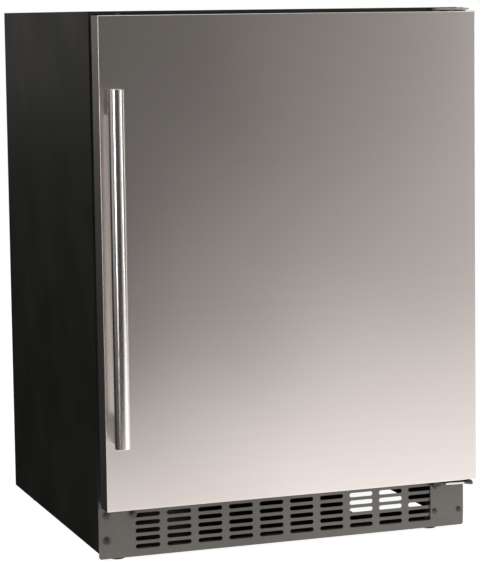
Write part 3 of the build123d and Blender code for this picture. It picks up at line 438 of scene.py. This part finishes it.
def islands(node):
    """The lowest and highest corner of each separate solid in a CAD node."""
    shape = copied(node)
    unseen = set(shape.verts)
    boxes = []
    while unseen:
        stack = [unseen.pop()]
        members = []
        while stack:
            vert = stack.pop()
            members.append(vert.co.copy())
            for edge in vert.link_edges:
                other = edge.other_vert(vert)
                if other in unseen:
                    unseen.remove(other)
                    stack.append(other)
        low = Vector([min(place[axis] for place in members) for axis in range(3)])
        high = Vector([max(place[axis] for place in members) for axis in range(3)])
        boxes.append((low, high))
    shape.free()
    return sorted(boxes, key=lambda box: (round(box[0].z, 4), round(box[0].x, 4)))


def lathe(profile, steps=64):
    """A bmesh turned round Z from (radius, height) points that start and end on the axis."""
    shape = bmesh.new()
    verts = [shape.verts.new((radius, 0, height)) for radius, height in profile]
    edges = [shape.edges.new(pair) for pair in zip(verts, verts[1:])]
    bmesh.ops.spin(shape, geom=verts + edges, cent=(0, 0, 0), axis=(0, 0, 1),
                   angle=2 * math.pi, steps=steps, use_duplicate=False)
    bmesh.ops.remove_doubles(shape, verts=shape.verts, dist=0.000001)
    return shape


def merged(target, shape, matrix=Matrix.Identity(4)):
    """Adds one bmesh to another at a place."""
    mesh = bpy.data.meshes.new("part")
    shape.to_mesh(mesh)
    mesh.transform(matrix)
    target.from_mesh(mesh)
    bpy.data.meshes.remove(mesh)


def rounded_box(low, high, radius, segments=4):
    """A box between two corners with all its edges rounded."""
    shape = bmesh.new()
    bmesh.ops.create_cube(shape, size=1)
    size = Vector(high) - Vector(low)
    middle = (Vector(high) + Vector(low)) / 2
    for vert in shape.verts:
        vert.co = Vector([co * side for co, side in zip(vert.co, size)]) + middle
    bmesh.ops.bevel(shape, geom=shape.edges[:], offset=radius, segments=segments, profile=0.5,
                    affect="EDGES", clamp_overlap=True)
    return shape


def rounded_rectangle(half, bottom, top, radius, steps=8):
    """Points of an upright rectangle's outline, its corners round."""
    points = []
    corners = [(half, top, 0), (-half, top, 90), (-half, bottom, 180), (half, bottom, 270)]
    for x, z, start in corners:
        centre_x = x - math.copysign(radius, x)
        centre_z = z - radius if z == top else z + radius
        for step in range(steps + 1):
            angle = math.radians(start + 90 * step / steps)
            points.append((centre_x + radius * math.cos(angle), centre_z + radius * math.sin(angle)))
    return points


def frame_ring(profile, half, bottom, top, radius):
    """A closed ring round an upright rectangle; the profile is a loop of (inset, y) points."""
    shape = bmesh.new()
    loops = []
    for inset, y in profile:
        corner = max(radius - inset, 0.0002)
        outline = rounded_rectangle(half - inset, bottom + inset, top - inset, corner)
        loops.append([shape.verts.new((x, y, z)) for x, z in outline])
    count = len(loops[0])
    for loop, following in zip(loops, loops[1:] + loops[:1]):
        for index in range(count):
            after = (index + 1) % count
            shape.faces.new((loop[index], loop[after], following[after], following[index]))
    return shape


# Pieces -------------------------------------------------------------------------------

def add_handle_bar(materials):
    """The tubular bar, with a rounded rim and a plug let into each end."""
    low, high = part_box("handle_bar")
    radius = (high.x - low.x) / 2
    plug = radius - 1.4 * MM
    end = [(0, 0.5), (plug / MM - 0.15, 0.5), (plug / MM, 1.1), (plug / MM + 0.2, 1.1),
           (plug / MM + 0.35, 0.25), (radius / MM - 0.75, 0), (radius / MM - 0.3, 0.12),
           (radius / MM - 0.06, 0.4), (radius / MM, 0.8)]
    height = high.z - low.z
    profile = [(r * MM, z * MM) for r, z in end]
    profile += [(radius, height * step / 12) for step in range(1, 12)]
    profile += [(r * MM, height - z * MM) for r, z in reversed(end)]
    bar = lathe(profile, 96)
    place = Matrix.Translation(((low.x + high.x) / 2, (low.y + high.y) / 2, low.z))
    bar.transform(place)
    add_piece("handle_bar_turned", bar, "handle_bar", materials)


def screw_head(radius, height):
    """A washer-faced head with a cross recess, its underside at Z = 0."""
    dome = radius * 0.62
    profile = [(0, 0), (radius, 0), (radius, height * 0.18), (radius * 0.93, height * 0.3),
               (dome * 1.08, height * 0.36), (dome, height * 0.44), (dome * 0.97, height * 0.72),
               (dome * 0.86, height * 0.9), (dome * 0.6, height), (0, height)]
    head = lathe(profile, 48)
    body = bpy.data.objects.new("head", bpy.data.meshes.new("head"))
    head.to_mesh(body.data)
    head.free()
    cutter_shape = bmesh.new()
    for size in ((1.1, 0.26), (0.26, 1.1)):
        bar = bmesh.new()
        bmesh.ops.create_cube(bar, size=1)
        for vert in bar.verts:
            narrow = 1 if vert.co.z > 0 else 0.62
            vert.co.x *= dome * size[0] * narrow
            vert.co.y *= dome * size[1] * narrow
            vert.co.z = height * (1.1 if vert.co.z > 0 else 0.42)
        merged(cutter_shape, bar)
        bar.free()
    cutter = bpy.data.objects.new("cutter", bpy.data.meshes.new("cutter"))
    cutter_shape.to_mesh(cutter.data)
    cutter_shape.free()
    for item in (body, cutter):
        bpy.context.scene.collection.objects.link(item)
    cut = body.modifiers.new("recess", "BOOLEAN")
    cut.operation = "DIFFERENCE"
    cut.use_self = True
    cut.object = cutter
    graph = bpy.context.evaluated_depsgraph_get()
    mesh = bpy.data.meshes.new_from_object(body.evaluated_get(graph))
    for item in (body, cutter):
        bpy.data.objects.remove(item)
    result = bmesh.new()
    result.from_mesh(mesh)
    bpy.data.meshes.remove(mesh)
    return result


def add_screws(node, facing, materials):
    """Finer screws in place of a CAD node's; facing gives each one's outward direction."""
    group = bmesh.new()
    for low, high in islands(node):
        outward = Vector(facing(low, high))
        axis = max(range(3), key=lambda index: abs(outward[index]))
        across = (axis + 1) % 3
        radius = (high[across] - low[across]) / 2
        height = radius * 0.45
        top = (low + high) / 2
        top[axis] = high[axis] if outward[axis] > 0 else low[axis]
        bottom = top.copy()
        bottom[axis] = low[axis] if outward[axis] > 0 else high[axis]
        turn = outward.to_track_quat("Z", "Y").to_matrix().to_4x4()
        head = screw_head(radius, height)
        merged(group, head, Matrix.Translation(top - outward * height) @ turn)
        head.free()
        length = (top - bottom).length - height
        shank_radius = radius * 0.4
        shank = lathe([(0, 0), (shank_radius, 0), (shank_radius, length - 1 * MM),
                       (shank_radius * 0.6, length), (0, length)], 24)
        flip = Matrix.Rotation(math.pi, 4, "X")
        merged(group, shank, Matrix.Translation(top - outward * height) @ turn @ flip)
        shank.free()
    add_piece(node + "_headed", group, node, materials)


def add_gasket(materials):
    """The door seal: a base, a folded bellows and the magnet's flat face."""
    low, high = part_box("door_gasket")
    width = 20 * MM
    depth = (high.y - low.y) / MM
    side = [(0, 0.2), (0, 3.0), (0.5, 3.8), (2.6, 4.3), (3.3, 5.0), (2.6, 5.7), (1.7, 6.2),
            (1.5, 7.0), (1.9, 7.7), (3.5, 8.1), (4.0, 8.7), (3.5, 9.3), (2.4, 9.7), (2.0, 10.4),
            (2.0, depth - 0.8), (2.3, depth - 0.2), (3.0, depth)]
    profile = [(inset * MM, low.y + y * MM) for inset, y in side]
    profile += [(width - inset * MM, low.y + y * MM) for inset, y in reversed(side)]
    ring = frame_ring(profile, high.x, low.z, high.z, 3 * MM)
    add_piece("door_gasket_folded", ring, "door_gasket", materials)


def liner_skin(grow):
    """One surface of the liner, open at the front; grow moves it outwards from the inside."""
    low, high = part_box("inner_liner")
    wall = 2 * MM
    rounding = 6 * MM
    hump_front = FRONT + 295 * MM + grow
    hump_top = 292 * MM - grow
    rear = high.y - wall + grow
    bottom = low.z + wall - grow
    top = high.z - wall + grow
    half = MOUTH_SIDE + grow
    outline = [(low.y, bottom), (hump_front, bottom), (hump_front, hump_top), (rear, hump_top),
               (rear, top), (low.y, top)]
    skin = bmesh.new()
    sides = [[skin.verts.new((x, y, z)) for y, z in outline] for x in (-half, half)]
    for side in sides:
        skin.faces.new(side)
    for index in range(len(outline) - 1):
        after = index + 1
        skin.faces.new((sides[0][index], sides[0][after], sides[1][after], sides[1][index]))
    rounded = [edge for edge in skin.edges if len(edge.link_faces) == 2]
    bmesh.ops.bevel(skin, geom=rounded, offset=rounding, segments=5, profile=0.5, affect="EDGES")
    return skin


def add_liner(materials):
    """The moulded liner with rounded corners, its hump and the ledges for the shelves."""
    thickness = 1.8 * MM
    shape = liner_skin(0)
    merged(shape, liner_skin(thickness))
    rims = [edge for edge in shape.edges if len(edge.link_faces) == 1]
    bmesh.ops.bridge_loops(shape, edges=rims)
    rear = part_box("inner_liner")[1].y - 2 * MM
    for level_z in ledge_heights():
        for sign in (-1, 1):
            inner = sign * (MOUTH_SIDE - 8 * MM)
            outer = sign * (MOUTH_SIDE + 1 * MM)
            ledge = rounded_box((min(inner, outer), FRONT + 112 * MM, level_z - 6 * MM),
                                (max(inner, outer), rear - 8 * MM, level_z), 2 * MM)
            merged(shape, ledge)
            ledge.free()
    add_piece("inner_liner_moulded", shape, "inner_liner", materials)


def ledge_heights():
    """Two ledges for each shelf: the one it lies on, and one halfway to the next shelf."""
    shelves = [low.z for low, high in islands("glass_shelves")]
    step = (shelves[1] - shelves[0]) / 2
    return [height + offset for height in shelves for offset in (0, step)]


def add_inner_panel(materials):
    """The door's inner panel: a sheet, a rounded ridge round the bins and their lugs."""
    low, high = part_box("door_inner_panel")
    back = FRONT - 14 * MM
    shape = rounded_box(low, (high.x, back, high.z), 0.9 * MM, 2)
    width = 24
    rise = (high.y - back) / MM
    arc = 7
    slope = 1.5
    side = [(0, -0.5), (slope * 0.6, rise - arc)]
    for step in range(1, 6):
        angle = math.radians(90 * step / 5)
        side.append((slope * 0.6 + arc * (1 - math.cos(angle)), rise - arc + arc * math.sin(angle)))
    profile = [(inset * MM, back + y * MM) for inset, y in side]
    profile += [((width - inset) * MM, back + y * MM) for inset, y in reversed(side)]
    ridge = frame_ring(profile, 246 * MM, 139 * MM, 765 * MM, 24.5 * MM)
    merged(shape, ridge)
    ridge.free()
    for floor in [low.z for low, high in islands("door_bins")]:
        for sign in (-1, 1):
            inner = sign * 217 * MM
            outer = sign * 223 * MM
            lug = rounded_box((min(inner, outer), back - 0.5 * MM, floor - 9 * MM),
                              (max(inner, outer), FRONT + 10 * MM, floor), 2 * MM)
            merged(shape, lug)
            lug.free()
    add_piece("door_inner_panel_moulded", shape, "door_inner_panel", materials)


def add_door_foam(materials):
    """The door's foam, its ridge drawn in to stay under the inner panel's round corners."""
    shape = copied("door_foam")
    # Each side of the ridge in mm: where the CAD has it, and where it is drawn in to
    half_widths = {244: 236, 224: 228}
    heights = {141: 149, 763: 755, 161: 157, 743: 747}
    near = 0.1 * MM
    for vert in shape.verts:
        for old, new in half_widths.items():
            if abs(abs(vert.co.x) - old * MM) < near:
                vert.co.x = math.copysign(new * MM, vert.co.x)
                break
        for old, new in heights.items():
            if abs(vert.co.z - old * MM) < near:
                vert.co.z = new * MM
                break
    add_piece("door_foam_cast", shape, "door_foam", materials)


def add_foot(node, materials):
    """A levelling foot: a soft-edged disc, a hexagonal collar and a threaded stud."""
    low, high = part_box(node)
    radius = (high.x - low.x) / 2
    height = high.z - low.z
    stud = 3.95 * MM
    pitch = 1.25 * MM
    base = 13 * MM
    profile = [(0, 0), (radius * 0.8, 0), (radius * 0.9, 0.4 * MM), (radius * 0.98, 1.6 * MM),
               (radius, 3 * MM), (radius, 7.8 * MM), (radius * 0.97, 8.6 * MM),
               (radius * 0.92, 9 * MM), (stud, 9 * MM), (stud, base)]
    for turn in range(int((height - base) / pitch)):
        start = base + turn * pitch
        profile += [(stud, start + pitch * 0.1), (stud * 0.86, start + pitch * 0.5),
                    (stud, start + pitch * 0.9)]
    profile += [(stud, height - 0.4 * MM), (stud * 0.8, height), (0, height)]
    foot = lathe(profile, 40)
    collar = bmesh.new()
    bmesh.ops.create_cone(collar, cap_ends=True, segments=6, radius1=8 * MM, radius2=8 * MM,
                          depth=4 * MM, matrix=Matrix.Translation((0, 0, 11 * MM)))
    soften(collar, 0.4 * MM)
    merged(foot, collar)
    collar.free()
    middle = (low + high) / 2
    foot.transform(Matrix.Translation((middle.x, middle.y, low.z)))
    add_piece(node + "_threaded", foot, node, materials)


def add_toe_kick(materials):
    """The slotted plate with a round pressed seat under each of its own screws."""
    node = "toe_kick_grille"
    shape = copied(node)
    soften(shape, 0.3 * MM)
    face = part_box(node)[0].y
    rise = 0.7 * MM
    for low, high in islands("toe_kick_screws"):
        seat = lathe([(0, 0.3 * MM), (7.6 * MM, 0.3 * MM), (7.4 * MM, 0), (6.9 * MM, -rise),
                      (6.2 * MM, -rise), (5.4 * MM, -0.1 * MM), (0, -0.1 * MM)], 48)
        turn = Matrix.Rotation(math.radians(-90), 4, "X")
        place = Matrix.Translation(((low.x + high.x) / 2, face, (low.z + high.z) / 2))
        merged(shape, seat, place @ turn)
        seat.free()
    add_piece(node + "_pressed", shape, node, materials)


def add_hinge_bracket_lower(materials):
    """The lower hinge: painted, but bare steel along the shelf's long cut edge, and black seal rubber
    on the flange's left side face as painted shade for the dark gap there.
    """
    node = "hinge_bracket_lower"
    shape = copied(node)
    soften(shape, 0.4 * MM, 3)
    shelf_front = FRONT - 20 * MM
    tip_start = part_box(node)[1].x - 17 * MM

    def is_cut_edge(face):
        centre = face.calc_center_median()
        return centre.y < shelf_front and centre.x < tip_start and abs(face.normal.z) < 0.6

    # Painted shade: the flange's left side face sits in the gap's shadow and gets the black seal
    # rubber finish to look dark
    def is_painted_shade_side(face):
        return face.normal.x < -0.9 and face.calc_center_median().y > shelf_front

    add_piece(node + "_edged", shape, node, materials,
              [("hinge_steel", is_cut_edge), ("seal_rubber", is_painted_shade_side)])


def add_fan(node, axis, blades, materials):
    """A fan wheel with a domed hub and curved, twisted blades, along X or Y."""
    low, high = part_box(node)
    middle = (low + high) / 2
    depth = (high - low)[axis]
    radius = (high - low)[(axis + 1) % 3] / 2
    hub = radius * 0.29
    wheel = lathe([(2.55 * MM, -depth * 0.22), (hub * 0.94, -depth * 0.22), (hub, -depth * 0.15),
                   (hub, depth * 0.2), (hub * 0.92, depth * 0.28), (hub * 0.6, depth * 0.33),
                   (2.55 * MM, depth * 0.34), (2.55 * MM, -depth * 0.22)], 48)
    for index in range(blades):
        blade = fan_blade(hub, radius, depth)
        merged(wheel, blade, Matrix.Rotation(2 * math.pi * index / blades, 4, "Z"))
        blade.free()
    normal = Vector((0, 0, 0))
    normal[axis] = -1
    turn = normal.to_track_quat("Z", "Y").to_matrix().to_4x4()
    wheel.transform(Matrix.Translation(middle) @ turn)
    add_piece(node + "_curved", wheel, node, materials)


def fan_blade(hub, radius, depth):
    """One blade: a curved sheet whose pitch falls from the hub to the tip."""
    shape = bmesh.new()
    across = 8
    along = 8
    rows = []
    for i in range(along + 1):
        r = hub * 0.96 + (radius * 0.985 - hub * 0.96) * i / along
        sweep = math.radians(34 + 12 * i / along)
        rise = depth * (0.42 - 0.12 * i / along)
        row = []
        for j in range(across + 1):
            t = j / across - 0.5
            angle = sweep * t + 0.25 * (i / along) ** 2
            bow = 0.12 * depth * (1 - 4 * t * t)
            row.append(shape.verts.new((r * math.cos(angle), r * math.sin(angle),
                                        2 * rise * t * 0.8 + bow * 0.5)))
        rows.append(row)
    for inner, outer in zip(rows, rows[1:]):
        for j in range(across):
            shape.faces.new((inner[j], outer[j], outer[j + 1], inner[j + 1]))
    bmesh.ops.recalc_face_normals(shape, faces=shape.faces)
    bmesh.ops.solidify(shape, geom=shape.faces[:], thickness=1.4 * MM)
    return shape


def to_front(low, high):
    """The outward direction of a screw in the front."""
    return (0, -1, 0)


def to_rear(low, high):
    """The outward direction of a screw driven from behind."""
    return (0, 1, 0)


def to_base_or_rear(low, high):
    """Down for a case screw near the floor, to the rear for the others."""
    near_floor = 30 * MM
    return (0, 0, -1) if high.z < near_floor else (0, 1, 0)


def add_pieces(materials):
    """Every piece that stands for a CAD node with a finer shape."""
    add_handle_bar(materials)
    add_gasket(materials)
    add_liner(materials)
    add_inner_panel(materials)
    add_door_foam(materials)
    add_toe_kick(materials)
    add_hinge_bracket_lower(materials)
    add_screws("toe_kick_screws", to_front, materials)
    add_screws("hinge_screws", to_front, materials)
    add_screws("handle_screws", to_rear, materials)
    add_screws("case_screws", to_base_or_rear, materials)
    for corner in ("front_left", "front_right", "rear_left", "rear_right"):
        add_foot("foot_" + corner, materials)
    add_fan("condenser_fan_blade", 0, 5, materials)
    add_fan("evaporator_fan_blade", 1, 5, materials)
    sheet_edge = 0.3 * MM
    bracket_edge = 0.5 * MM
    moulded_edge = 0.6 * MM
    for node in ("side_panel_left", "side_panel_right", "front_frame", "door_skin",
                 "bay_cover", "base_pan", "back_panel", "bay_panel", "air_divider"):
        add_softened(node, sheet_edge, materials)
    for node in ("hinge_bracket_upper", "handle_posts"):
        add_softened(node, bracket_edge, materials, 3)
    for node in ("door_stop", "relay_box", "drip_tray", "control_housing", "control_display",
                 "evaporator_cover", "shelf_trims", "glass_shelves", "crisper_drawer",
                 "door_bins", "cord_gland"):
        add_softened(node, moulded_edge, materials, 3)


def finish_cad_nodes(materials):
    """Each CAD node that stays gets its slot's finish."""
    for node, item in frame["nodes"].items():
        item.data.materials.clear()
        item.data.materials.append(materials[SLOT_OF[node]])


add_camera()
add_world()
add_floor()
add_lights()
bpy.context.scene.view_settings.view_transform = "Standard"
finishes = make_materials()
finish_cad_nodes(finishes)
add_pieces(finishes)
